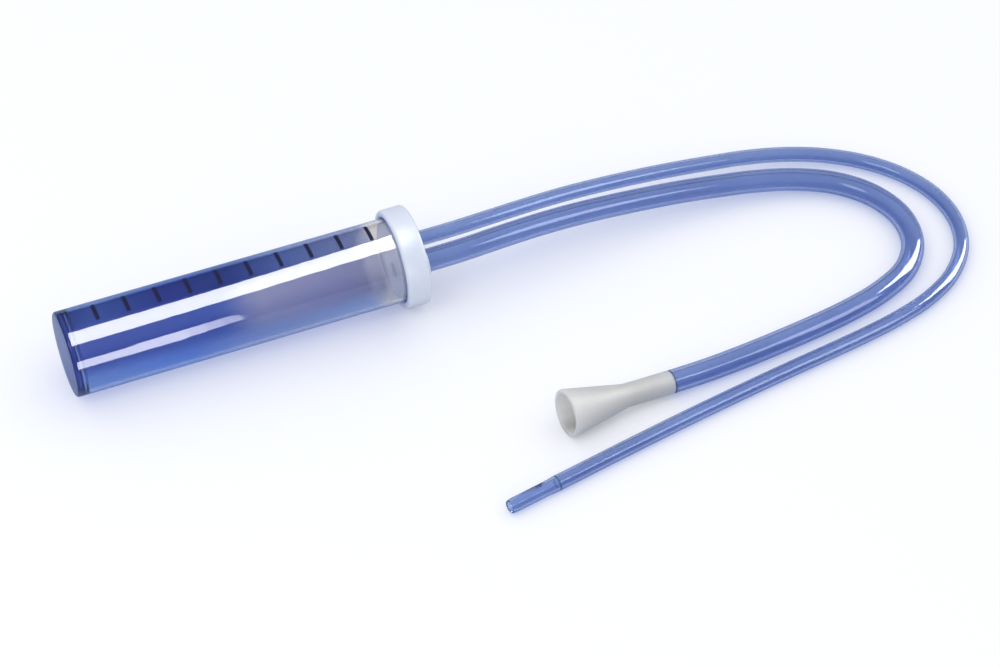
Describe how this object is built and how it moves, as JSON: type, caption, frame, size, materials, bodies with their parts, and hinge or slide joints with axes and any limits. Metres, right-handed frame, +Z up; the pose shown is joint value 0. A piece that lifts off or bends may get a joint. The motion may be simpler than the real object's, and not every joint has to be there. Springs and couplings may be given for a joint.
{
  "type": "suction catheter with collecting container",
  "caption": "Clear round graduated container with a push-fit cap, a thin catheter with an open tip and side eye, and a vacuum tube that ends in a funnel.",
  "frame": {"origin": "on the table, under the middle of the container with its cap", "axes": "+X along the container from its closed end towards the cap, +Z up, so the tubes leave towards +X and their loop lies towards -Y"},
  "size_m": [0.2348, 0.0944, 0.0261],
  "materials": {
    "container_clear": "clear, polished, with a faint blue tint",
    "cap_milky": "milky, soft satin",
    "tubing_clear": "clear blue, smooth",
    "funnel_frosted": "frosted"
  },
  "bodies": {
    "container": {"container": "container_clear"},
    "cap_and_tubes": {"cap": "cap_milky", "catheter_tube": "tubing_clear", "catheter_tip": "tubing_clear", "vacuum_tube": "tubing_clear", "funnel_connector": "funnel_frosted"}
  },
  "joints": [
    {"name": "cap_pull", "type": "slide", "parent": "container", "child": "cap_and_tubes", "axis": [0.9997, 0, 0.0231], "range_m": [0, 0.025]}
  ]
}
